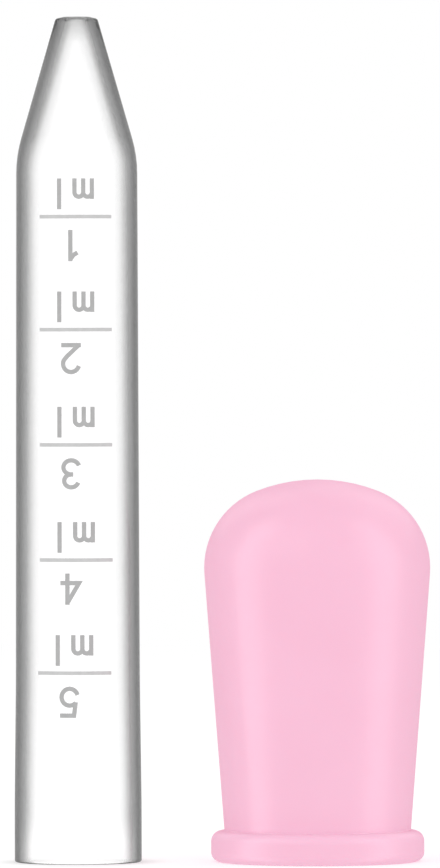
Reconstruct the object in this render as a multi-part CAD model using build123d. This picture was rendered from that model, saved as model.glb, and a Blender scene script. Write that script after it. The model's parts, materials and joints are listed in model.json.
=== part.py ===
from build123d import *
import os
from math import cos, radians, sin, sqrt, tan

# A 5 ml dropper pipette, pulled into its two pieces. The clear graduated barrel stands on its
# open foot with the drip end up, and the soft squeeze bulb stands on its mouth beside it.
# Millimetres and degrees. Both pieces stand on Z = 0, and the pair runs along X.

# Barrel, outside
barrel_length = 86.8
tip_radius = 2.10             # at the drip end
nozzle_half_angle = 16.1      # slope of the tapered nozzle, from the axis
shoulder_radius = 13.0        # blend of the body into the nozzle
body_top_radius = 6.21        # where the body's line meets the nozzle's
body_foot_radius = 6.37       # at the top of the flare, so the body has a little draft
flare_top = 18.7              # height at which the flare has run out into the body
flare_blend_share = 0.15      # how much of the flare each end's blending curve takes up
seat_radius = 6.53            # straight foot that the bulb grips
seat_length = 6.0

# Barrel, wall and edges
barrel_wall = 1.10            # the same all the way up, so the outlet follows from it
tip_land = 0.35               # flat ring round the outlet
tip_drop = 0.20               # from the ring, the drip end slopes down this far to its rim
tip_land_edge = 0.50
tip_outer_edge = 0.35
tip_inner_edge = 0.15
foot_outer_edge = 0.25
foot_inner_edge = 0.20

# Bulb, outside
bulb_height = 39.25
bulb_widest_radius = 11.61
crown_radius = 17.1           # top of the dome
knuckle_radius = 8.46         # between the dome and the side
side_angle = 4.35             # the side draws in towards the mouth
bead_proud = 1.37             # the bead round the mouth stands out this far from the neck
bead_height = 3.20
bead_top_round = 1.10
bead_foot_round = 1.00
neck_round = 0.15             # hollow corner between the bead and the side

# Bulb, inside
bulb_wall = 1.90
socket_depth = 11.0           # how far the barrel's foot goes in
socket_lead_in = 0.60         # rounded entry
grip = 0.28                   # the socket is this much tighter than the seat, on the radius
ledge_thickness = 1.20        # the foot stops against this ledge
ledge_round = 0.30
chamber_floor_angle = 45.0    # the chamber's floor slopes down to the ledge
chamber_floor_round = 1.50

# Both pieces, as they stand
gap_between = 6.47            # free space between the two at their widest

# Sizes that follow
socket_radius = seat_radius - grip
ledge_radius = seat_radius - barrel_wall
pair_width = 2 * seat_radius + gap_between + 2 * bulb_widest_radius
barrel_x = seat_radius - pair_width / 2
bulb_x = pair_width / 2 - bulb_widest_radius


def lathe(outline):
    # A closed outline, drawn as (radius, height), turned once round the Z axis
    return revolve(make_face(Plane.XZ * outline), Axis.Z)


def inset(corners, wall):
    # Corners of the line that runs parallel to this one, a wall's thickness nearer the axis.
    # The two ends stay at their own heights.
    lines = [Vector(*b) - Vector(*a) for a, b in zip(corners, corners[1:])]
    normals = [Vector(-line.Y, line.X).normalized() for line in lines]
    inner = [(corners[0][0] + wall / normals[0].X, corners[0][1])]
    for corner, below, above in zip(corners[1:], normals, normals[1:]):
        moved = Vector(*corner) + (below + above) * (wall / (1 + below.dot(above)))
        inner.append((moved.X, moved.Y))
    inner.append((corners[-1][0] + wall / normals[-1].X, corners[-1][1]))
    return inner


def blend_radius(before, corner, after, length):
    # Radius of the curve that rounds a shallow corner and takes up this much of each line
    turn = (Vector(*corner) - Vector(*before)).get_angle(Vector(*after) - Vector(*corner))
    return length / tan(radians(turn / 2))


def make_barrel():
    nozzle_length = (body_top_radius - tip_radius) / tan(radians(nozzle_half_angle))
    outside = [
        (seat_radius, 0),
        (seat_radius, seat_length),
        (body_foot_radius, flare_top),
        (body_top_radius, barrel_length - nozzle_length),
        (tip_radius, barrel_length),
    ]
    inside = inset(outside, barrel_wall)
    # The rim lies lower than the ring round the outlet, further down the nozzle's own slope
    rim_radius = tip_radius + tip_drop * tan(radians(nozzle_half_angle))
    ring_radius = inside[-1][0] + tip_land
    outside[-1:] = [(rim_radius, barrel_length - tip_drop), (ring_radius, barrel_length)]
    blend_length = flare_blend_share * (flare_top - seat_length)
    flare_foot = blend_radius(*outside[0:3], blend_length)
    flare_end = blend_radius(*outside[1:4], blend_length)
    outside_rounds = [
        foot_outer_edge,
        flare_foot,
        flare_end,
        shoulder_radius,
        tip_outer_edge,
        tip_land_edge,
    ]
    inside_rounds = [
        foot_inner_edge,
        flare_foot - barrel_wall,
        flare_end + barrel_wall,
        shoulder_radius - barrel_wall,
        tip_inner_edge,
    ]
    section = FilletPolyline(
        *outside, *reversed(inside),
        radius=outside_rounds + inside_rounds[::-1],
        close=True,
    )
    return lathe(section)


def dome(wall):
    # The dome's outline, this far inside the outer face: the knuckle and crown arcs, the point
    # where the side starts, and the apex on the axis
    knuckle = knuckle_radius - wall
    crown = crown_radius - wall
    knuckle_r = bulb_widest_radius - knuckle_radius
    crown_z = bulb_height - crown_radius
    rise = sqrt((crown_radius - knuckle_radius) ** 2 - knuckle_r ** 2)
    knuckle_z = crown_z + rise
    share = crown / (crown_radius - knuckle_radius)
    tilt = radians(side_angle)
    side_end = (knuckle_r + knuckle * cos(tilt), knuckle_z - knuckle * sin(tilt))
    meeting = (knuckle_r * share, crown_z + rise * share)
    apex = (0, crown_z + crown)
    arcs = RadiusArc(side_end, meeting, -knuckle) + RadiusArc(meeting, apex, -crown)
    return arcs, side_end, apex


def make_bulb():
    outer_arcs, outer_end, outer_apex = dome(0)
    inner_arcs, inner_end, inner_apex = dome(bulb_wall)
    draw_in = tan(radians(side_angle))

    ledge_top = socket_depth + ledge_thickness
    floor_slope = tan(radians(chamber_floor_angle))
    # The sloping floor starts at the ledge's lip and ends where it meets the chamber's side
    side_at_ledge = inner_end[0] - (inner_end[1] - ledge_top) * draw_in
    floor_rise = (side_at_ledge - ledge_radius) * floor_slope / (1 - floor_slope * draw_in)
    floor_end = (side_at_ledge + floor_rise * draw_in, ledge_top + floor_rise)

    neck_radius = outer_end[0] - (outer_end[1] - bead_height) * draw_in
    bead_radius = neck_radius + bead_proud
    corners = [
        (outer_end, None),
        ((neck_radius, bead_height), neck_round),
        ((bead_radius, bead_height), bead_top_round),
        ((bead_radius, 0), bead_foot_round),
        ((socket_radius, 0), socket_lead_in),
        ((socket_radius, socket_depth), ledge_round),
        ((ledge_radius, socket_depth), ledge_round),
        ((ledge_radius, ledge_top), ledge_round),
        (floor_end, chamber_floor_round),
        (inner_end, None),
    ]
    wall_line = FilletPolyline(
        *[corner for corner, rounding in corners],
        radius=[rounding for corner, rounding in corners if rounding is not None],
    )
    section = outer_arcs + wall_line + inner_arcs + Line(inner_apex, outer_apex)
    return lathe(section)


pieces = {
    "graduated_barrel": Pos(X=barrel_x) * make_barrel(),
    "squeeze_bulb": Pos(X=bulb_x) * make_bulb(),
}

os.makedirs("parts", exist_ok=True)
for name, piece in pieces.items():
    export_step(piece, f"parts/{name}.step")
    print(f"{name}: {piece.volume:.1f} mm3")
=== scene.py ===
import json
from math import acos, ceil, cos, degrees, floor, pi, radians, sin, tan
import bpy
from mathutils import Matrix, Quaternion, Vector
from mathutils.geometry import delaunay_2d_cdt

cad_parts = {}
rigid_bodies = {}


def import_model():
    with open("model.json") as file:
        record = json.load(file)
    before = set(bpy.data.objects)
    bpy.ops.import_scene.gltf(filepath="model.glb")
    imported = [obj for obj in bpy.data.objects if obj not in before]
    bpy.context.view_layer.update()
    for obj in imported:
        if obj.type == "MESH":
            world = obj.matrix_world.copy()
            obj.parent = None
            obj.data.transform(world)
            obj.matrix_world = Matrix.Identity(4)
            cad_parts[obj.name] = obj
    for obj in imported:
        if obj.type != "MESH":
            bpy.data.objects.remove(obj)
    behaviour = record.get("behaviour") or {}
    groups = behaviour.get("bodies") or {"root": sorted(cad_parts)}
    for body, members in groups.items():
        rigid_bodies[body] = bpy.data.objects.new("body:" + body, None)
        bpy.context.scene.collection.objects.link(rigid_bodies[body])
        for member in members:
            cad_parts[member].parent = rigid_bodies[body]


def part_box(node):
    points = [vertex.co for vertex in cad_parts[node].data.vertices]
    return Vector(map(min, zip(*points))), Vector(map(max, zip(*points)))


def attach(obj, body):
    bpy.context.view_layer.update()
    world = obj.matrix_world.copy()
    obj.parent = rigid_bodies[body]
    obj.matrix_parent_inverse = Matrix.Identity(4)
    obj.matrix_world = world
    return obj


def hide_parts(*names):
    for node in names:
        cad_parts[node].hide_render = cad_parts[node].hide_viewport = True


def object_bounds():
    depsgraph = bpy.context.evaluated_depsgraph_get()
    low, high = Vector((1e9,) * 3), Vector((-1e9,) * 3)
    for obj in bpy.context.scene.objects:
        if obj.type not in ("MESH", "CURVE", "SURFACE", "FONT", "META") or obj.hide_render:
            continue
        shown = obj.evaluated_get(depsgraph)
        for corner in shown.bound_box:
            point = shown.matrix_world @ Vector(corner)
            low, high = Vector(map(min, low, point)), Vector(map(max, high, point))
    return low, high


# A 5 ml dropper pipette in its two pieces: the clear graduated barrel stands on its open foot
# with the drip end up, and the pink squeeze bulb stands on its mouth beside it.
# The sizes of the pieces are in millimetres, and are turned to metres where a mesh is made. The
# floor, the lamps and the camera are set in metres.

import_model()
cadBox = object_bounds()

mm = 0.001
noiseRange = (0.3, 0.7)    # a noise texture's values lie mostly between these
oneOrMore = 0.5            # a ray's depth is a count, so anything above this is at least one


def middleOf(node):
    low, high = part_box(node)
    return Vector(((low.x + high.x) / 2, (low.y + high.y) / 2, 0))


barrelMiddle = middleOf("graduated_barrel")
bulbMiddle = middleOf("squeeze_bulb")


def linearColour(hexColour):
    # sRGB, as a colour is picked on a screen, to the linear values that light is worked out in
    shares = [int(hexColour[i:i + 2], 16) / 255 for i in (1, 3, 5)]
    return [s / 12.92 if s <= 0.04045 else ((s + 0.055) / 1.055) ** 2.4 for s in shares] + [1.0]


def addNode(tree, kind, inputs=None, **settings):
    # One node with its settings. An input takes a value, another node's output, or a list of them
    node = tree.nodes.new(kind)
    for name, value in settings.items():
        setattr(node, name, value)
    for name, value in (inputs or {}).items():
        outputs = value if isinstance(value, list) else [value]
        if isinstance(outputs[0], bpy.types.NodeSocket):
            for output in outputs:
                tree.links.new(output, node.inputs[name])
        else:
            node.inputs[name].default_value = value
    return node


def newMaterial(name):
    material = bpy.data.materials.new(name)
    material.use_nodes = True
    material.node_tree.nodes.clear()
    return material, material.node_tree


def newTree(name, inputs):
    # A geometry tree with named inputs and one geometry output
    tree = bpy.data.node_groups.new(name, "GeometryNodeTree")
    for inputName, kind in inputs.items():
        tree.interface.new_socket(inputName, in_out="INPUT", socket_type="NodeSocket" + kind)
    tree.interface.new_socket("Geometry", in_out="OUTPUT", socket_type="NodeSocketGeometry")
    return tree, tree.nodes.new("NodeGroupInput").outputs


def treePiece(name, startMesh, tree, values):
    # Runs a geometry tree on a start mesh, and keeps the result as a plain mesh
    piece = bpy.data.objects.new(name, startMesh)
    bpy.context.scene.collection.objects.link(piece)
    modifier = piece.modifiers.new(tree.name, "NODES")
    modifier.node_group = tree
    for socket in tree.interface.items_tree:
        if socket.in_out == "INPUT" and socket.name in values:
            modifier[socket.identifier] = values[socket.name]
    graph = bpy.context.evaluated_depsgraph_get()
    mesh = bpy.data.meshes.new_from_object(piece.evaluated_get(graph), depsgraph=graph)
    piece.modifiers.remove(modifier)
    piece.data = mesh
    mesh.name = name
    return piece


# The outlines of the turned pieces are drawn as (radius, height)
arcStep = 5.0      # degrees between the points of an arc
fewestSteps = 2    # that an arc has, however short it is
holdShare = 0.08   # a point this far past each arc, as a share of its radius, keeps the flat flat
holdMost = 0.08    # and it is never further off than this


def arcPoints(centre, radius, start, end):
    steps = max(fewestSteps, ceil(abs(end - start) / arcStep))
    angles = [radians(start + (end - start) * i / steps) for i in range(steps + 1)]
    return [Vector((centre[0] + radius * cos(a), centre[1] + radius * sin(a))) for a in angles]


def roundedLine(corners):
    # The line through these corners, each given as (radius, height, rounding)
    points = []
    for before, corner, after in zip(corners[-1:] + corners, corners, corners[1:] + corners[:1]):
        here = Vector(corner[:2])
        rounding = corner[2]
        if not rounding:
            points.append(here)
            continue
        back = (Vector(before[:2]) - here).normalized()
        ahead = (Vector(after[:2]) - here).normalized()
        half = back.angle(ahead) / 2
        # The arc's centre is on the line that halves the corner, and a spoke goes round it
        centre = here + (back + ahead).normalized() * rounding / sin(half)
        spoke = here + back * rounding / tan(half) - centre
        turn = (pi - 2 * half) * (1 if back.cross(ahead) < 0 else -1)
        steps = max(fewestSteps, ceil(abs(degrees(turn)) / arcStep))
        curve = [centre + Matrix.Rotation(turn * i / steps, 2) @ spoke for i in range(steps + 1)]
        hold = min(rounding * holdShare, holdMost)
        points += [curve[0] + back * hold, *curve, curve[-1] + ahead * hold]
    return points


def turningTree():
    # Turns an outline once round the upright axis
    tree, given = newTree("turnedOutline", {
        "Outline": "Geometry",
        "Segments": "Int",
        "Place": "Vector",
        "Material": "Material",
    })
    pathRadius = 0.01 * mm     # of the circle that the outline is swept along, beside the axis
    weld = 0.001 * mm          # closes the seam and the pole
    outline = addNode(tree, "GeometryNodeMeshToCurve", {"Mesh": given["Outline"]})
    shifted = addNode(tree, "GeometryNodeTransform", {
        "Geometry": outline.outputs[0], "Translation": (-pathRadius, 0, 0),
    })
    circle = addNode(tree, "GeometryNodeCurvePrimitiveCircle", {
        "Resolution": given["Segments"], "Radius": pathRadius,
    })
    swept = addNode(tree, "GeometryNodeCurveToMesh", {
        "Curve": circle.outputs["Curve"], "Profile Curve": shifted.outputs[0],
    })
    closed = addNode(tree, "GeometryNodeMergeByDistance", {
        "Geometry": swept.outputs[0], "Distance": weld,
    })
    # The sweep comes out upside down, so it is turned over on its way to its place
    placed = addNode(tree, "GeometryNodeTransform", {
        "Geometry": closed.outputs[0], "Translation": given["Place"], "Rotation": (pi, 0, 0),
    })
    smooth = addNode(tree, "GeometryNodeSetShadeSmooth", {"Geometry": placed.outputs[0]})
    plain = addNode(tree, "GeometryNodeRealizeInstances", {"Geometry": smooth.outputs[0]})
    finished = addNode(tree, "GeometryNodeSetMaterial", {
        "Geometry": plain.outputs[0], "Material": given["Material"],
    })
    addNode(tree, "NodeGroupOutput", {"Geometry": finished.outputs[0]})
    return tree


def turnedPiece(name, outline, closed, segments, middle, material):
    # A closed outline goes once round the wall's section. An open one starts and ends on the
    # axis, or else makes an open sleeve
    count = len(outline)
    mesh = bpy.data.meshes.new(name + "Outline")
    mesh.from_pydata([(p.x * mm, p.y * mm, 0) for p in outline],
                     [(i, (i + 1) % count) for i in range(count if closed else count - 1)], [])
    return treePiece(name, mesh, turner, {
        "Segments": segments, "Place": middle, "Material": material,
    })


turner = turningTree()

# The clear barrel, with heights from its foot up
barrelSizes = dict(
    length=86.8,
    tipRadius=2.10,
    nozzleAngle=16.1,      # slope of the tapered nozzle, from the axis
    shoulderRound=13.0,    # blend of the body into the nozzle
    bodyTop=6.21,          # radius where the body's line meets the nozzle's
    bodyFoot=6.37,         # radius where the flare has run out into the body
    flareTop=18.7,
    flareBlend=1.9,        # length of the curve that blends each end of the flare
    seatRadius=6.53,       # straight foot that the bulb grips
    seatLength=6.0,
    wall=1.10,
    tipLand=0.35,          # flat ring round the outlet
    tipDrop=0.20,          # the drip end slopes down this far from the ring to its rim
    tipLandEdge=0.50,
    tipEdges=(0.35, 0.15),     # outside, inside
    footEdges=(0.25, 0.20),
    segments=240,
)


def barrelOutline(s):
    # Up the outside and down the bore, which runs a wall's thickness inside
    nozzleLength = (s["bodyTop"] - s["tipRadius"]) / tan(radians(s["nozzleAngle"]))
    outside = [
        Vector((s["seatRadius"], 0)),
        Vector((s["seatRadius"], s["seatLength"])),
        Vector((s["bodyFoot"], s["flareTop"])),
        Vector((s["bodyTop"], s["length"] - nozzleLength)),
        Vector((s["tipRadius"], s["length"])),
    ]
    # The bore's corners are mitred, and its ends lie level with the outside's
    runs = [b - a for a, b in zip(outside, outside[1:])]
    inward = [Vector((-run.y, run.x)).normalized() * s["wall"] for run in runs]
    ends = [Vector((s["wall"] ** 2 / move.x, 0)) for move in (inward[0], inward[-1])]
    bore = [outside[0] + ends[0]]
    for corner, below, above in zip(outside[1:], inward, inward[1:]):
        both = below + above
        bore.append(corner + both * s["wall"] ** 2 / both.dot(below))
    bore.append(outside[-1] + ends[1])
    flareRounds = [s["flareBlend"] / tan(runs[i].angle(runs[i + 1]) / 2) for i in (0, 1)]
    rim = s["tipRadius"] + s["tipDrop"] * tan(radians(s["nozzleAngle"]))
    ring = bore[-1].x + s["tipLand"]
    outside[-1:] = [Vector((rim, s["length"] - s["tipDrop"])), Vector((ring, s["length"]))]
    outsideRounds = [
        s["footEdges"][0],
        *flareRounds,
        s["shoulderRound"],
        s["tipEdges"][0],
        s["tipLandEdge"],
    ]
    boreRounds = [
        s["footEdges"][1],
        flareRounds[0] - s["wall"],
        flareRounds[1] + s["wall"],
        s["shoulderRound"] - s["wall"],
        s["tipEdges"][1],
    ]
    corners = [(*point, rounding) for point, rounding in zip(outside, outsideRounds)]
    corners += [(*point, rounding) for point, rounding in zip(bore[::-1], boreRounds[::-1])]
    return roundedLine(corners)


clearStyrene = dict(
    ior=1.59,
    roughness=0.12,
    streak=(0.5, 0.5, 12.0),   # size of the steel's fine polishing streaks, which run lengthways
    streakRoughness=0.02,      # how much rougher and smoother they are
    wave=5.0,                  # size of the slow waves that the melt left as it set
    waveDepth=0.003,
    edgeShade=0.725,     # painted shade that the wall's edge-on sides get
    edgeFrom=0.4,        # that grey starts to fade this far in
    edgeDepth=2.8,       # and is gone this far in
    footEdgeDepth=1.85,  # or this far at the foot
    footFrom=4.8,        # heights between which it gets there
    footTo=2.0,
    slopeReach=4.5,      # how much further in it reaches where the wall slopes
    edgeFade=1.78,       # how steeply it fades
    wallFrom=0.95,       # depths between which the eye comes out of the wall's own thickness,
    wallFull=1.30,       # and the grey there is softened over
    wallTo=1.95,
    wallShade=0.09,      # by this much on the straight body
    slopeShade=0.23,     # and this much on the nozzle
    tipShade=0.47,       # painted shade at the drip end, where the wall is seen end-on
    tipDepth=2.65,       # and how far down that fades out
)


def makePaintedEdgeShade(tree, s, spot, top, nozzleAngle):
    # Painted shade for the clear wall's colour at this spot, given in millimetres from the barrel's
    # middle:
    # darker where the eye looks along the wall, and darker at the drip end, standing in for the dim
    # room seen there
    parts = addNode(tree, "ShaderNodeSeparateXYZ", {"Vector": spot})
    flat = addNode(tree, "ShaderNodeVectorMath", {
        0: spot, 1: (1, 1, 0),
    }, operation="MULTIPLY")
    radius = addNode(tree, "ShaderNodeVectorMath", {0: flat.outputs[0]}, operation="LENGTH")
    # How far in from the silhouette this spot is seen, from the slant of the surface
    slant = addNode(tree, "ShaderNodeLayerWeight", {"Blend": 0.5})
    towards = addNode(tree, "ShaderNodeMath", {
        0: 1.0, 1: slant.outputs["Facing"],
    }, operation="SUBTRACT")
    # The nozzle's own slope is left out, so only the turn round the axis counts
    surface = addNode(tree, "ShaderNodeNewGeometry")
    level = addNode(tree, "ShaderNodeVectorMath", {
        0: surface.outputs["Normal"], 1: (1, 1, 0),
    }, operation="MULTIPLY")
    sideways = addNode(tree, "ShaderNodeVectorMath", {0: level.outputs[0]}, operation="LENGTH")
    facing = addNode(tree, "ShaderNodeMath", {
        0: towards.outputs[0], 1: sideways.outputs["Value"],
    }, operation="DIVIDE", use_clamp=True)
    square = addNode(tree, "ShaderNodeMath", {
        0: facing.outputs[0], 1: facing.outputs[0],
    }, operation="MULTIPLY")
    rest = addNode(tree, "ShaderNodeMath", {0: 1.0, 1: square.outputs[0]}, operation="SUBTRACT")
    aside = addNode(tree, "ShaderNodeMath", {0: rest.outputs[0]}, operation="SQRT")
    inward = addNode(tree, "ShaderNodeMath", {0: 1.0, 1: aside.outputs[0]}, operation="SUBTRACT")
    depth = addNode(tree, "ShaderNodeMath", {
        0: inward.outputs[0], 1: radius.outputs["Value"],
    }, operation="MULTIPLY")
    # The nozzle's slope crosses more wall, so its painted grey reaches further in
    slope = addNode(tree, "ShaderNodeMath", {
        0: sideways.outputs["Value"], 1: s["slopeReach"],
    }, operation="POWER")
    seen = addNode(tree, "ShaderNodeMath", {
        0: depth.outputs[0], 1: slope.outputs[0],
    }, operation="MULTIPLY")
    reach = addNode(tree, "ShaderNodeMapRange", {
        "Value": parts.outputs["Z"],
        "From Min": s["footTo"], "From Max": s["footFrom"],
        "To Min": s["footEdgeDepth"], "To Max": s["edgeDepth"],
    })
    near = addNode(tree, "ShaderNodeMapRange", {
        "Value": seen.outputs[0], "From Min": reach.outputs[0], "From Max": s["edgeFrom"],
    })
    faded = addNode(tree, "ShaderNodeMath", {
        0: near.outputs[0], 1: s["edgeFade"],
    }, operation="POWER")
    edge = addNode(tree, "ShaderNodeMath", {
        0: faded.outputs[0], 1: -s["edgeShade"], 2: 1.0,
    }, operation="MULTIPLY_ADD")
    # Just past the wall's own thickness the light comes back suddenly, so the painted grey goes on
    # there
    past = addNode(tree, "ShaderNodeMapRange", {
        "Value": depth.outputs[0], "From Min": s["wallFrom"], "From Max": s["wallFull"],
    }, interpolation_type="SMOOTHSTEP")
    beyond = addNode(tree, "ShaderNodeMapRange", {
        "Value": depth.outputs[0], "From Min": s["wallTo"], "From Max": s["wallFull"],
    }, interpolation_type="SMOOTHSTEP")
    wall = addNode(tree, "ShaderNodeMath", {
        0: past.outputs[0], 1: beyond.outputs[0],
    }, operation="MULTIPLY")
    share = addNode(tree, "ShaderNodeMapRange", {
        "Value": sideways.outputs["Value"],
        "From Min": 1.0, "From Max": cos(radians(nozzleAngle)),
        "To Min": -s["wallShade"], "To Max": -s["slopeShade"],
    })
    softened = addNode(tree, "ShaderNodeMath", {
        0: wall.outputs[0], 1: share.outputs[0], 2: 1.0,
    }, operation="MULTIPLY_ADD")
    band = addNode(tree, "ShaderNodeMath", {
        0: edge.outputs[0], 1: softened.outputs[0],
    }, operation="MULTIPLY")
    tip = addNode(tree, "ShaderNodeMapRange", {
        "Value": parts.outputs["Z"],
        "From Min": top - s["tipDepth"], "From Max": top,
        "To Min": 1.0, "To Max": 1.0 - s["tipShade"],
    })
    # The painted grey edges don't get darker at the drip end
    tipHere = addNode(tree, "ShaderNodeMapRange", {
        "Value": faded.outputs[0], "To Min": tip.outputs[0], "To Max": 1.0,
    })
    both = addNode(tree, "ShaderNodeMath", {
        0: band.outputs[0], 1: tipHere.outputs[0],
    }, operation="MULTIPLY")
    # The shader lets the root of its colour through at each face
    paintedShade = addNode(tree, "ShaderNodeMath", {
        0: both.outputs[0], 1: both.outputs[0],
    }, operation="MULTIPLY")
    return paintedShade.outputs[0]


def makeClearStyrene(s, middle, top, nozzleAngle):
    # Crystal polystyrene, moulded against polished steel: clear as glass, with painted grey shade
    # at the edges where the eye looks along the wall
    material, tree = newMaterial("clearStyrene")
    place = addNode(tree, "ShaderNodeTexCoord")
    centred = addNode(tree, "ShaderNodeMapping", {
        "Vector": place.outputs["Object"],
        "Location": -middle / mm,
        "Scale": (1 / mm, 1 / mm, 1 / mm),
    })
    # The wall's colour carries the painted shade of its edges and its drip end
    paintedShade = makePaintedEdgeShade(tree, s, centred.outputs[0], top, nozzleAngle)
    path = addNode(tree, "ShaderNodeLightPath")
    # A ray is tinted at the first face that it meets, and not again at the faces behind
    inside = addNode(tree, "ShaderNodeMath", {
        0: path.outputs["Transmission Depth"], 1: oneOrMore,
    }, operation="GREATER_THAN")
    colour = addNode(tree, "ShaderNodeMix", {
        "Factor": inside.outputs[0], "A": paintedShade, "B": 1.0,
    }, data_type="FLOAT")
    alongSteel = addNode(tree, "ShaderNodeVectorMath", {
        0: centred.outputs[0], 1: s["streak"],
    }, operation="DIVIDE")
    streaks = addNode(tree, "ShaderNodeTexNoise", {
        "Vector": alongSteel.outputs[0], "Scale": 1.0, "Detail": 2.0,
    })
    polish = addNode(tree, "ShaderNodeMapRange", {
        "Value": streaks.outputs["Fac"],
        "From Min": noiseRange[0], "From Max": noiseRange[1],
        "To Min": s["roughness"] - s["streakRoughness"],
        "To Max": s["roughness"] + s["streakRoughness"],
    })
    waves = addNode(tree, "ShaderNodeTexNoise", {
        "Vector": centred.outputs[0], "Scale": 1 / s["wave"], "Detail": 0.0,
    })
    bump = addNode(tree, "ShaderNodeBump", {
        "Height": waves.outputs["Fac"], "Distance": s["waveDepth"] * mm, "Strength": 1.0,
    })
    shader = addNode(tree, "ShaderNodeBsdfPrincipled", {
        "Base Color": colour.outputs["Result"],
        "Roughness": polish.outputs[0],
        "Normal": bump.outputs[0],
        "IOR": s["ior"],
        "Transmission Weight": 1.0,
    })
    addNode(tree, "ShaderNodeOutputMaterial", {"Surface": shader.outputs["BSDF"]})
    return material


def makeBarrel(s):
    material = makeClearStyrene(clearStyrene, barrelMiddle, s["length"], s["nozzleAngle"])
    outline = barrelOutline(s)
    piece = turnedPiece("clearBarrel", outline, True, s["segments"], barrelMiddle, material)
    piece.visible_diffuse = False      # clear plastic leaves the bulb beside it in full light
    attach(piece, "root")
    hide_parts("graduated_barrel")
    print("clear barrel turned:", len(piece.data.polygons), "faces")
    return piece


# The squeeze bulb, with heights from its mouth up
bulbSizes = dict(
    height=39.25,
    widest=11.61,
    crown=17.1,            # radius of the dome's top
    knuckle=8.46,          # radius between the dome and the side
    drawIn=4.35,           # degrees that the side leans in towards the mouth
    beadProud=1.37,        # the bead round the mouth stands out this far from the neck
    beadHeight=3.20,
    beadRounds=(1.10, 1.00),   # top, foot
    neckRound=0.15,
    wall=1.90,
    socketRadius=6.25,     # grips the barrel's foot
    socketDepth=11.0,
    socketLeadIn=0.60,
    ledgeRadius=5.43,      # the barrel's foot stops against this ledge
    ledgeThickness=1.20,
    ledgeRound=0.30,
    floorAngle=45.0,       # slope of the chamber's floor
    floorRound=1.50,
    segments=200,
)


def bulbOutline(s):
    # Down the inside from the top of the chamber, and up the outside to the top of the dome
    leanIn = tan(radians(s["drawIn"]))
    knuckleAt = s["widest"] - s["knuckle"]
    reach = s["crown"] - s["knuckle"]
    meet = degrees(acos(knuckleAt / reach))       # direction in which the two arcs meet
    crownCentre = (0, s["height"] - s["crown"])
    knuckleCentre = (knuckleAt, crownCentre[1] + reach * sin(radians(meet)))

    def domePoints(wall):
        crown = arcPoints(crownCentre, s["crown"] - wall, 90, meet)
        knuckle = arcPoints(knuckleCentre, s["knuckle"] - wall, meet, -s["drawIn"])
        return crown + knuckle[1:]

    outer = domePoints(0)
    inner = domePoints(s["wall"])
    neck = outer[-1].x - (outer[-1].y - s["beadHeight"]) * leanIn
    bead = neck + s["beadProud"]
    ledgeTop = s["socketDepth"] + s["ledgeThickness"]
    # The chamber's floor slopes up from the ledge until it meets the leaning side
    slope = tan(radians(s["floorAngle"]))
    sideAtLedge = inner[-1].x - (inner[-1].y - ledgeTop) * leanIn
    rise = (sideAtLedge - s["ledgeRadius"]) * slope / (1 - slope * leanIn)
    wallLine = roundedLine([
        (*inner[-1], 0),
        (sideAtLedge + rise * leanIn, ledgeTop + rise, s["floorRound"]),
        (s["ledgeRadius"], ledgeTop, s["ledgeRound"]),
        (s["ledgeRadius"], s["socketDepth"], s["ledgeRound"]),
        (s["socketRadius"], s["socketDepth"], s["ledgeRound"]),
        (s["socketRadius"], 0, s["socketLeadIn"]),
        (bead, 0, s["beadRounds"][1]),
        (bead, s["beadHeight"], s["beadRounds"][0]),
        (neck, s["beadHeight"], s["neckRound"]),
        (*outer[-1], 0),
    ])
    return inner[:-1] + wallLine + outer[-2::-1]


pinkSilicone = dict(
    colour="#FDC0D9",
    paler="#FEC2DB",        # where the pigment has mixed a little thinner
    mixSize=9.0,            # size of those clouds
    mixRange=(0.35, 0.65),  # noise values between which they fade in
    paintedCreaseLight="#FFC9E1",        # painted light: the corner above the bead is made paler, which lifts the shade in its crease
    creaseLightFrom=1.2,           # how far above and below the corner the painted light begins
    mirroredColour="#E4E4E4",   # painted reflection: the grey the bulb turns to where the clear wall mirrors it
    ior=1.41,
    gloss=1.0,              # a well cured skin, glossier than its refraction alone would make it
    bloom="#FFB8D6",        # the soft glow of its downy skin, seen edge-on
    bloomShare=0.8,
    bloomSpread=0.5,
    roughness=0.32,
    grain=0.35,             # size of the bead-blasted mould's grain
    grainDepth=0.004,
    grainRoughness=0.05,    # how much rougher and smoother it is from grain to grain
    softness=0.15,          # light that goes in under the surface
    softReach=(1.2, 0.6, 0.7),
)


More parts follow.
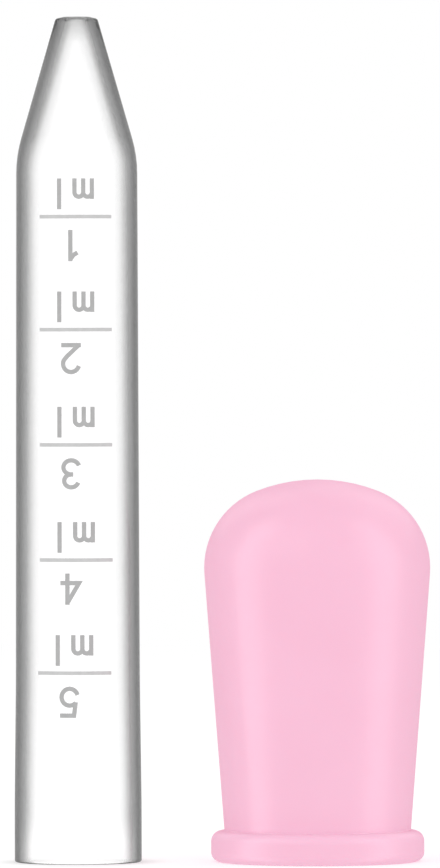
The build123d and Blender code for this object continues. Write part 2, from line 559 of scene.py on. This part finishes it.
def makePinkSilicone(s, middle, corner):
    # Liquid silicone rubber, moulded in a bead-blasted mould: satin, soft-edged light, and a
    # little light that travels under the surface
    material, tree = newMaterial("pinkSilicone")
    place = addNode(tree, "ShaderNodeTexCoord")
    centred = addNode(tree, "ShaderNodeMapping", {
        "Vector": place.outputs["Object"],
        "Location": -middle / mm,
        "Scale": (1 / mm, 1 / mm, 1 / mm),
    })
    clouds = addNode(tree, "ShaderNodeTexNoise", {
        "Vector": centred.outputs[0], "Scale": 1 / s["mixSize"], "Detail": 3.0, "Roughness": 0.5,
    })
    cloudy = addNode(tree, "ShaderNodeMapRange", {
        "Value": clouds.outputs["Fac"],
        "From Min": s["mixRange"][0], "From Max": s["mixRange"][1],
    })
    colour = addNode(tree, "ShaderNodeMix", {
        "Factor": cloudy.outputs[0],
        "A": linearColour(s["colour"]),
        "B": linearColour(s["paler"]),
    }, data_type="RGBA")
    # Painted light: the crease above the bead is lightened, so its shade shows less
    parts = addNode(tree, "ShaderNodeSeparateXYZ", {"Vector": centred.outputs[0]})
    above = addNode(tree, "ShaderNodeMath", {
        0: parts.outputs["Z"], 1: corner,
    }, operation="SUBTRACT")
    away = addNode(tree, "ShaderNodeMath", {0: above.outputs[0]}, operation="ABSOLUTE")
    creaseLightMask = addNode(tree, "ShaderNodeMapRange", {
        "Value": away.outputs[0], "From Min": s["creaseLightFrom"], "From Max": 0.0,
    }, interpolation_type="SMOOTHSTEP")
    creaseLightened = addNode(tree, "ShaderNodeMix", {
        "Factor": creaseLightMask.outputs[0],
        "A": colour.outputs["Result"],
        "B": linearColour(s["paintedCreaseLight"]),
    }, data_type="RGBA")
    # Painted reflection: where the clear wall mirrors the bulb, its pink is swapped for grey
    path = addNode(tree, "ShaderNodeLightPath")
    mirrored = addNode(tree, "ShaderNodeMath", {
        0: path.outputs["Glossy Depth"], 1: oneOrMore,
    }, operation="GREATER_THAN")
    shown = addNode(tree, "ShaderNodeMix", {
        "Factor": mirrored.outputs[0],
        "A": creaseLightened.outputs["Result"],
        "B": linearColour(s["mirroredColour"]),
    }, data_type="RGBA")
    blast = addNode(tree, "ShaderNodeTexNoise", {
        "Vector": centred.outputs[0], "Scale": 1 / s["grain"], "Detail": 2.0, "Roughness": 0.6,
    })
    satin = addNode(tree, "ShaderNodeMapRange", {
        "Value": blast.outputs["Fac"],
        "To Min": s["roughness"] - s["grainRoughness"],
        "To Max": s["roughness"] + s["grainRoughness"],
    })
    bump = addNode(tree, "ShaderNodeBump", {
        "Height": blast.outputs["Fac"], "Distance": s["grainDepth"] * mm, "Strength": 1.0,
    })
    shader = addNode(tree, "ShaderNodeBsdfPrincipled", {
        "Base Color": shown.outputs["Result"],
        "Roughness": satin.outputs[0],
        "Normal": bump.outputs[0],
        "IOR": s["ior"],
        "Specular IOR Level": s["gloss"],
        "Sheen Weight": s["bloomShare"],
        "Sheen Roughness": s["bloomSpread"],
        "Sheen Tint": linearColour(s["bloom"]),
        "Subsurface Weight": s["softness"],
        "Subsurface Radius": s["softReach"],
        "Subsurface Scale": mm,
    })
    addNode(tree, "ShaderNodeOutputMaterial", {"Surface": shader.outputs["BSDF"]})
    return material


def makeBulb(s):
    material = makePinkSilicone(pinkSilicone, bulbMiddle, s["beadHeight"])
    piece = turnedPiece("squeezeBulb", bulbOutline(s), False, s["segments"], bulbMiddle, material)
    piece.visible_glossy = False       # no pink mirrored in the barrel beside it
    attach(piece, "root")
    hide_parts("squeeze_bulb")
    print("squeeze bulb turned:", len(piece.data.polygons), "faces")
    return piece


# The printed scale reads with the drip end down. The strokes are drawn as it reads, and the tree
# turns them over.
scaleSizes = dict(
    marks=(66.27, 54.72, 42.94, 31.16, 19.60),   # heights of the 1 to 5 ml lines above the foot
    drift=(0, 0, 0, 0, -0.21),                  # the last line was printed a little aside
    lineLength=8.0,
    lineWidth=0.38,
    lineAside=0.10,
    pen=0.45,                # width of the strokes
    figureHeight=3.2,
    figureUp=1.36,           # from the line to the figure's foot
    figureAside=0.56,
    unitDown=3.90,           # from the line to the foot of the letters under it
    cell=0.4,                # the ink bends round the barrel in cells this wide
    sunk=0.01,               # so that it lies on the plastic without a gap
    thickness=0.04,
    strokeWeld=0.0001,       # points closer than this are one where the strokes run together,
    filmWeld=0.0002,         # and where the faces of the film meet
)

bendStep = 15    # degrees between the points of a drawn curve


def bend(x, y, width, height, start, end):
    # Part of an oval, from one angle to the other
    steps = max(fewestSteps, round(abs(end - start) / bendStep))
    angles = [radians(start + (end - start) * i / steps) for i in range(steps + 1)]
    return [(x + width * cos(a), y + height * sin(a)) for a in angles]


def figureStrokes(pen, height):
    # The middle lines of the pen's strokes, with the figure's foot at 0 and its middle at x = 0
    low = pen / 2
    high = height - pen / 2
    waist = high - 1.32       # where the two bowls of the 3 meet
    return {
        "1": [
            [(0.05, 0), (0.05, height)],
            [(0.08, high + 0.05), (-0.30, high - 0.42), (-0.70, high - 0.66)],
        ],
        "2": [
            bend(0, high - 0.84, 0.84, 0.84, 165, -25) + [(0.42, 1.37), (-0.80, low)],
            [(-1.03, low), (1.03, low)],
        ],
        "3": [
            bend(0, high - 0.66, 0.74, 0.66, 165, -90),
            bend(0, waist - 0.72, 0.82, 0.72, 90, -165),
            [(-0.20, waist), (0.10, waist)],
        ],
        "4": [
            [(0.42, 0), (0.42, height)],
            [(1.15, 0.98), (-0.78, 0.98), (0.36, high - 0.06)],
        ],
        "5": [
            [(1.00, high), (-0.45, high), (-0.62, 1.60)],
            bend(0, low + 0.86, 0.84, 0.86, 138, -165),
        ],
    }


def unitStrokes(pen):
    # "ml", with the foot of both letters at 0
    lowerCase = 2.10
    reach = 0.458            # half the way between two stems of the m
    shoulder = lowerCase - pen / 2 - reach
    arches = []
    for stem in (0.17, -0.75):
        arches.append([(stem, 0)] + bend(stem - reach, shoulder, reach, reach, 0, 160))
    return [
        [(1.80, 0), (1.80, 3.15)],
        [(-1.67, 0), (-1.67, lowerCase)],
        *arches,
    ]


def strokeCells(line, pen):
    # The pen's stroke along this line, in four-sided cells with mitred joints
    line = [Vector(point) for point in line]
    runs = [(b - a).normalized() for a, b in zip(line, line[1:])]
    sides = []
    for point, before, after in zip(line, runs[:1] + runs, runs + runs[-1:]):
        along = (before + after).normalized()
        across = Vector((-along.y, along.x)) * pen / 2 / along.dot(after)
        sides.append((point + across, point - across))
    return [(a[1], b[1], b[0], a[0]) for a, b in zip(sides, sides[1:])]


def inkShape(name, strokes, s):
    # A flat mesh of all these strokes run together, upright and facing the reader
    points = []
    cells = []
    for line in strokes:
        for cell in strokeCells(line, s["pen"]):
            cells.append(range(len(points), len(points) + 4))
            points += cell
    sides = [min(p.x for p in points), max(p.x for p in points)]
    heights = [min(p.y for p in points), max(p.y for p in points)]
    cuts = []
    for k in range(floor(sides[0] / s["cell"]), ceil(sides[1] / s["cell"]) + 1):
        cuts.append((len(points), len(points) + 1))
        points += [Vector((k * s["cell"], y)) for y in heights]
    union = delaunay_2d_cdt(points, cuts, cells, 0, s["strokeWeld"])
    faces = [face for face, origins in zip(union[2], union[5]) if origins]
    used = sorted({i for face in faces for i in face})
    place = {old: new for new, old in enumerate(used)}
    mesh = bpy.data.meshes.new(name)
    mesh.from_pydata([(union[0][i].x * mm, 0, union[0][i].y * mm) for i in used], [],
                     [[place[i] for i in face] for face in faces])
    return bpy.data.objects.new(name, mesh)


def printingTree():
    # Sets a line with the letters at each mark, and that mark's own figure, wraps them round
    # the barrel, and gives the ink its thickness
    tree, given = newTree("printedScale", {
        "Marks": "Geometry",
        "Barrel": "Object",
        "Middle": "Vector",
        "Wrap Radius": "Float",
        "Letters": "Object",
        "Figures": "Collection",
        "Line Length": "Float",
        "Line Width": "Float",
        "Line Aside": "Vector",
        "Line Cells": "Int",
        "Sunk": "Float",
        "Thickness": "Float",
        "Weld": "Float",
        "Material": "Material",
    })
    upsideDown = (0, pi, 0)
    bar = addNode(tree, "GeometryNodeMeshGrid", {
        "Size X": given["Line Length"], "Size Y": given["Line Width"],
        "Vertices X": given["Line Cells"], "Vertices Y": 2,
    })
    upright = addNode(tree, "GeometryNodeTransform", {
        "Geometry": bar.outputs["Mesh"],
        "Translation": given["Line Aside"],
        "Rotation": (pi / 2, 0, 0),
    })
    marked = addNode(tree, "GeometryNodeStoreNamedAttribute", {
        "Geometry": upright.outputs[0], "Name": "thinInk", "Value": 1.0,
    }, data_type="FLOAT", domain="POINT")
    letters = addNode(tree, "GeometryNodeObjectInfo", {"Object": given["Letters"]})
    unit = addNode(tree, "GeometryNodeJoinGeometry", {
        "Geometry": [marked.outputs[0], letters.outputs["Geometry"]],
    })
    units = addNode(tree, "GeometryNodeInstanceOnPoints", {
        "Points": given["Marks"], "Instance": unit.outputs[0], "Rotation": upsideDown,
    })
    figures = addNode(tree, "GeometryNodeCollectionInfo", {
        "Collection": given["Figures"], "Separate Children": True, "Reset Children": True,
    })
    number = addNode(tree, "GeometryNodeInputIndex")
    numbered = addNode(tree, "GeometryNodeInstanceOnPoints", {
        "Points": given["Marks"], "Instance": figures.outputs[0], "Pick Instance": True,
        "Instance Index": number.outputs[0], "Rotation": upsideDown,
    })
    artwork = addNode(tree, "GeometryNodeJoinGeometry", {
        "Geometry": [units.outputs[0], numbered.outputs[0]],
    })
    sheet = addNode(tree, "GeometryNodeRealizeInstances", {"Geometry": artwork.outputs[0]})

    # Wrap: the way aside becomes an angle, and a ray towards the axis finds the barrel's surface
    position = addNode(tree, "GeometryNodeInputPosition")
    parts = addNode(tree, "ShaderNodeSeparateXYZ", {"Vector": position.outputs[0]})
    angle = addNode(tree, "ShaderNodeMath", {
        0: parts.outputs["X"], 1: given["Wrap Radius"],
    }, operation="DIVIDE")
    sine = addNode(tree, "ShaderNodeMath", {0: angle.outputs[0]}, operation="SINE")
    cosine = addNode(tree, "ShaderNodeMath", {0: angle.outputs[0]}, operation="COSINE")
    forward = addNode(tree, "ShaderNodeMath", {
        0: cosine.outputs[0], 1: -1.0,
    }, operation="MULTIPLY")
    outward = addNode(tree, "ShaderNodeCombineXYZ", {"X": sine.outputs[0], "Y": forward.outputs[0]})
    height = addNode(tree, "ShaderNodeCombineXYZ", {"Z": parts.outputs["Z"]})
    axisSpot = addNode(tree, "ShaderNodeVectorMath", {
        0: given["Middle"], 1: height.outputs[0],
    }, operation="ADD")
    far = addNode(tree, "ShaderNodeMath", {0: given["Wrap Radius"], 1: 2.0}, operation="MULTIPLY")
    reach = addNode(tree, "ShaderNodeVectorMath", {
        0: outward.outputs[0], "Scale": far.outputs[0],
    }, operation="SCALE")
    start = addNode(tree, "ShaderNodeVectorMath", {
        0: axisSpot.outputs[0], 1: reach.outputs[0],
    }, operation="ADD")
    inward = addNode(tree, "ShaderNodeVectorMath", {
        0: outward.outputs[0], "Scale": -1.0,
    }, operation="SCALE")
    barrel = addNode(tree, "GeometryNodeObjectInfo", {"Object": given["Barrel"]})
    found = addNode(tree, "GeometryNodeRaycast", {
        "Target Geometry": barrel.outputs["Geometry"], "Source Position": start.outputs[0],
        "Ray Direction": inward.outputs[0], "Ray Length": far.outputs[0],
    })
    sunk = addNode(tree, "ShaderNodeVectorMath", {
        0: inward.outputs[0], "Scale": given["Sunk"],
    }, operation="SCALE")
    bed = addNode(tree, "ShaderNodeVectorMath", {
        0: found.outputs["Hit Position"], 1: sunk.outputs[0],
    }, operation="ADD")
    wrapped = addNode(tree, "GeometryNodeSetPosition", {
        "Geometry": sheet.outputs[0], "Position": bed.outputs[0],
    })

    # A closed film: the raised ink, its sides, and its underside
    raised = addNode(tree, "GeometryNodeExtrudeMesh", {
        "Mesh": wrapped.outputs[0], "Offset Scale": given["Thickness"], "Individual": False,
    }, mode="FACES")
    underside = addNode(tree, "GeometryNodeFlipFaces", {"Mesh": wrapped.outputs[0]})
    film = addNode(tree, "GeometryNodeJoinGeometry", {
        "Geometry": [raised.outputs["Mesh"], underside.outputs[0]],
    })
    closed = addNode(tree, "GeometryNodeMergeByDistance", {
        "Geometry": film.outputs[0], "Distance": given["Weld"],
    })
    plain = addNode(tree, "GeometryNodeRealizeInstances", {"Geometry": closed.outputs[0]})
    finished = addNode(tree, "GeometryNodeSetMaterial", {
        "Geometry": plain.outputs[0], "Material": given["Material"],
    })
    addNode(tree, "NodeGroupOutput", {"Geometry": finished.outputs[0]})
    return tree


greyInk = dict(
    colour="#B4B4B4",        # letters and figures
    thinColour="#CBCBCB",    # the lines, where the pad laid less ink
    patchSize=0.5,           # size of the lighter and darker patches in the print
    patchShade=0.04,
    roughness=0.55,
    ior=1.50,
)


def makeGreyInk(s):
    # Solvent ink, laid by a printing pad and dried matt: flat grey, a little uneven in cover
    material, tree = newMaterial("greyPadInk")
    place = addNode(tree, "ShaderNodeTexCoord")
    thin = addNode(tree, "ShaderNodeAttribute", attribute_name="thinInk")
    ink = addNode(tree, "ShaderNodeMix", {
        "Factor": thin.outputs["Fac"],
        "A": linearColour(s["colour"]),
        "B": linearColour(s["thinColour"]),
    }, data_type="RGBA")
    patches = addNode(tree, "ShaderNodeTexNoise", {
        "Vector": place.outputs["Object"], "Scale": 1 / (s["patchSize"] * mm), "Detail": 2.0,
    })
    cover = addNode(tree, "ShaderNodeMapRange", {
        "Value": patches.outputs["Fac"],
        "From Min": noiseRange[0], "From Max": noiseRange[1],
        "To Min": 1.0 - s["patchShade"], "To Max": 1.0 + s["patchShade"],
    })
    uneven = addNode(tree, "ShaderNodeMix", {
        "Factor": 1.0, "A": ink.outputs["Result"], "B": cover.outputs[0],
    }, data_type="RGBA", blend_type="MULTIPLY")
    shader = addNode(tree, "ShaderNodeBsdfPrincipled", {
        "Base Color": uneven.outputs["Result"],
        "Roughness": s["roughness"],
        "IOR": s["ior"],
    })
    addNode(tree, "ShaderNodeOutputMaterial", {"Surface": shader.outputs["BSDF"]})
    return material


def makeScale(s, barrel):
    letters = inkShape("letters", [
        [(x, y - s["unitDown"]) for x, y in line] for line in unitStrokes(s["pen"])
    ], s)
    figures = bpy.data.collections.new("figures")
    bpy.context.scene.collection.children.link(figures)
    for number, strokes in figureStrokes(s["pen"], s["figureHeight"]).items():
        figures.objects.link(inkShape("figure" + number, [
            [(x + s["figureAside"], y + s["figureUp"]) for x, y in line] for line in strokes
        ], s))
    bpy.context.scene.collection.objects.link(letters)
    marks = bpy.data.meshes.new("marks")
    marks.from_pydata([(x * mm, 0, z * mm) for x, z in zip(s["drift"], s["marks"])], [], [])
    piece = treePiece("printedScale", marks, printingTree(), {
        "Barrel": barrel,
        "Middle": barrelMiddle,
        "Wrap Radius": barrelSizes["bodyFoot"] * mm,
        "Letters": letters,
        "Figures": figures,
        "Line Length": s["lineLength"] * mm,
        "Line Width": s["lineWidth"] * mm,
        "Line Aside": (s["lineAside"] * mm, 0, 0),
        "Line Cells": ceil(s["lineLength"] / s["cell"]) + 1,
        "Sunk": s["sunk"] * mm,
        "Thickness": s["thickness"] * mm,
        "Weld": s["filmWeld"] * mm,
        "Material": makeGreyInk(greyInk),
    })
    for helper in [letters, *figures.objects]:
        bpy.data.objects.remove(helper)
    bpy.data.collections.remove(figures)
    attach(piece, "root")
    print("scale printed:", len(piece.data.polygons), "faces")
    return piece


barrel = makeBarrel(barrelSizes)
bulb = makeBulb(bulbSizes)
makeScale(scaleSizes, barrel)

# How bright the surroundings are, where 1 is white
rayLevels = dict(
    seen=1.0,        # white, where the camera looks past the object
    through=1.19,    # seen through the clear wall, whose faces mirror a tenth away
    inWall=0.70,     # mirrored inside the clear wall, which shows the dim room beside the set
    mirrored=0.55,   # in the gloss of the outer faces
    ambient=0.98,    # the soft light that falls on the object
)


def makeRayTree(levels):
    # Gives each kind of ray its own level
    tree = bpy.data.node_groups.new("surroundings", "ShaderNodeTree")
    for name in ("Level", "Floor Share"):
        tree.interface.new_socket(name, in_out="OUTPUT", socket_type="NodeSocketFloat")
    path = addNode(tree, "ShaderNodeLightPath")
    mirroredOnce = addNode(tree, "ShaderNodeMath", {
        0: path.outputs["Glossy Depth"], 1: oneOrMore,
    }, operation="GREATER_THAN")
    wentIn = addNode(tree, "ShaderNodeMath", {
        0: path.outputs["Transmission Depth"], 1: oneOrMore,
    }, operation="GREATER_THAN")
    inWall = addNode(tree, "ShaderNodeMath", {
        0: mirroredOnce.outputs[0], 1: wentIn.outputs[0],
    }, operation="MULTIPLY")
    level = levels["ambient"]
    for isKind, kindLevel in (
        (path.outputs["Is Glossy Ray"], levels["mirrored"]),
        (path.outputs["Is Transmission Ray"], levels["through"]),
        (inWall.outputs[0], levels["inWall"]),
        (path.outputs["Is Camera Ray"], levels["seen"]),
    ):
        chosen = addNode(tree, "ShaderNodeMix", {
            "Factor": isKind, "A": level, "B": kindLevel,
        }, data_type="FLOAT")
        level = chosen.outputs["Result"]
    # The floor shows to the camera, and through the clear wall where nothing was mirrored
    unmirrored = addNode(tree, "ShaderNodeMath", {
        0: path.outputs["Is Transmission Ray"], 1: mirroredOnce.outputs[0],
    }, operation="GREATER_THAN")
    onFloor = addNode(tree, "ShaderNodeMath", {
        0: path.outputs["Is Camera Ray"], 1: unmirrored.outputs[0],
    }, operation="MAXIMUM")
    addNode(tree, "NodeGroupOutput", {"Level": level, "Floor Share": onFloor.outputs[0]})
    return tree


def makeWorld(surroundings):
    world = bpy.data.worlds.new("whiteStudio")
    world.use_nodes = True
    tree = world.node_tree
    tree.nodes.clear()
    rays = addNode(tree, "ShaderNodeGroup", node_tree=surroundings)
    background = addNode(tree, "ShaderNodeBackground", {
        "Color": (1, 1, 1, 1), "Strength": rays.outputs["Level"],
    })
    addNode(tree, "ShaderNodeOutputWorld", {"Surface": background.outputs[0]})
    bpy.context.scene.world = world


floorSizes = dict(
    width=16.0,
    colour="#E6E6E6",
    paintLight=0.73,     # light that the paint gives back; a lift of its own adds the rest to white
    fadeFrom=0.10,       # metres from the middle of the set
    fadeTo=0.70,
)


def makeFloor(s, surroundings):
    # Matt emulsion, rolled on a board: flat white, with no gloss and no grain that shows
    material, tree = newMaterial("matWhitePaint")
    rays = addNode(tree, "ShaderNodeGroup", node_tree=surroundings)
    place = addNode(tree, "ShaderNodeTexCoord")
    away = addNode(tree, "ShaderNodeVectorMath", {0: place.outputs["Object"]}, operation="LENGTH")
    # White paint near the object, which takes its shadow, runs out into the world's own white
    fade = addNode(tree, "ShaderNodeMapRange", {
        "Value": away.outputs["Value"], "From Min": s["fadeFrom"], "From Max": s["fadeTo"],
    }, interpolation_type="SMOOTHSTEP")
    paint = addNode(tree, "ShaderNodeBsdfDiffuse", {"Color": linearColour(s["colour"])})
    lift = addNode(tree, "ShaderNodeMath", {
        0: rays.outputs["Level"], 1: s["paintLight"],
    }, operation="SUBTRACT")
    glow = addNode(tree, "ShaderNodeEmission", {"Color": (1, 1, 1, 1), "Strength": lift.outputs[0]})
    lifted = addNode(tree, "ShaderNodeAddShader", {0: paint.outputs[0], 1: glow.outputs[0]})
    white = addNode(tree, "ShaderNodeEmission", {
        "Color": (1, 1, 1, 1), "Strength": rays.outputs["Level"],
    })
    shown = addNode(tree, "ShaderNodeMixShader", {
        0: fade.outputs[0], 1: lifted.outputs[0], 2: white.outputs[0],
    })
    # To every other ray the floor isn't there, so the surroundings are as bright below as above
    gone = addNode(tree, "ShaderNodeBsdfTransparent")
    both = addNode(tree, "ShaderNodeMixShader", {
        0: rays.outputs["Floor Share"], 1: gone.outputs[0], 2: shown.outputs[0],
    })
    addNode(tree, "ShaderNodeOutputMaterial", {"Surface": both.outputs[0]})
    half = s["width"] / 2
    mesh = bpy.data.meshes.new("floor")
    mesh.from_pydata([(-half, -half, 0), (half, -half, 0), (half, half, 0), (-half, half, 0)],
                     [], [(0, 1, 2, 3)])
    mesh.materials.append(material)
    piece = bpy.data.objects.new("floor", mesh)
    bpy.context.scene.collection.objects.link(piece)


footShade = dict(
    height=9.0,      # the foot up to here holds back some of the floor's light
    near=2.0,        # all of it this close, and less and less further off,
    reach=6.5,       # up to here, so the bulb beside it stays in full light
    segments=60,
)


def makeFootShade(s):
    # The clear barrel is hidden from soft light, so this unseen ring keeps its faint shadow on the
    # floor. It is woven scrim, a thin cloth that holds back light and isn't seen itself
    material, tree = newMaterial("wovenScrim")
    path = addNode(tree, "ShaderNodeLightPath")
    passed = addNode(tree, "ShaderNodeMapRange", {
        "Value": path.outputs["Ray Length"],
        "From Min": s["near"] * mm, "From Max": s["reach"] * mm,
    })
    veil = addNode(tree, "ShaderNodeBsdfTransparent", {"Color": passed.outputs[0]})
    addNode(tree, "ShaderNodeOutputMaterial", {"Surface": veil.outputs[0]})
    radius = barrelSizes["seatRadius"] - barrelSizes["wall"] / 2
    outline = [Vector((radius, 0)), Vector((radius, s["height"]))]
    piece = turnedPiece("footShade", outline, False, s["segments"], barrelMiddle, material)
    piece.visible_camera = False
    piece.visible_glossy = False
    piece.visible_transmission = False
    piece.visible_shadow = False


# Soft panels. They stand turned this many degrees round from straight ahead, risen this many
# degrees, and this many metres away from the object
lamps = dict(
    keyPanel=dict(turn=-30, rise=35, away=1.0, size=(0.6, 0.6), watts=0.4),
    fillPanel=dict(turn=50, rise=20, away=1.0, size=(0.6, 0.6), watts=0.25),
    backPanel=dict(turn=160, rise=35, away=1.0, size=(0.6, 0.6), watts=0.3),
)

# Cards at both sides, tall ones and small ones behind the shoulders, which only show as soft
# bands in the bulb's gloss
cards = dict(
    leftCard=dict(turn=-80, rise=0, away=0.6, size=(0.40, 1.8), watts=2.70),
    rightCard=dict(turn=75, rise=0, away=0.6, size=(0.34, 1.8), watts=2.30),
    leftShoulderCard=dict(turn=-138, rise=38, away=0.6, size=(0.5, 0.5), watts=0.27),
    rightShoulderCard=dict(turn=135, rise=38, away=0.6, size=(0.5, 0.5), watts=0.22),
)


def makeLamps(group, onlyOn=None):
    middle = Vector((0, 0, cadBox[1].z / 2))
    # A lamp that lights one piece only is held back by nothing else, so the barrel doesn't shade it
    receivers = None
    if onlyOn:
        receivers = bpy.data.collections.new("receivers")
        receivers.objects.link(onlyOn)
    for name, s in group.items():
        light = bpy.data.lights.new(name, "AREA")
        light.shape = "RECTANGLE"
        light.size, light.size_y = s["size"]
        light.energy = s["watts"]
        lamp = bpy.data.objects.new(name, light)
        turn, rise = radians(s["turn"]), radians(s["rise"])
        way = Vector((sin(turn) * cos(rise), -cos(turn) * cos(rise), sin(rise)))
        lamp.location = middle + way * s["away"]
        lamp.rotation_euler = (-way).to_track_quat("-Z", "Y").to_euler()
        lamp.visible_camera = False
        lamp.visible_transmission = False
        lamp.visible_diffuse = onlyOn is None
        lamp.light_linking.receiver_collection = receivers
        lamp.light_linking.blocker_collection = receivers
        bpy.context.scene.collection.objects.link(lamp)


cameraSizes = dict(
    lens=484.6,       # millimetres, as the sensor is
    sensor=36.0,
    distance=1.2,
    height=60 * mm,
    aside=-0.19 * mm,
    aim=43.94 * mm,
    roll=-0.12,       # degrees
)


def makeCamera(s):
    data = bpy.data.cameras.new("camera")
    data.lens = s["lens"]
    data.sensor_width = s["sensor"]
    camera = bpy.data.objects.new("camera", data)
    camera.location = (s["aside"], -s["distance"], s["height"])
    target = Vector((s["aside"], 0, s["aim"]))
    straight = (target - camera.location).to_track_quat("-Z", "Y")
    rolled = straight @ Quaternion((0, 0, 1), radians(s["roll"]))
    camera.rotation_euler = rolled.to_euler()
    bpy.context.scene.collection.objects.link(camera)
    bpy.context.scene.camera = camera


surroundings = makeRayTree(rayLevels)
makeWorld(surroundings)
makeFloor(floorSizes, surroundings)
makeFootShade(footShade)
makeLamps(lamps)
makeLamps(cards, bulb)
makeCamera(cameraSizes)
bpy.context.scene.view_settings.view_transform = "Standard"
print("floor, lamps and camera set")
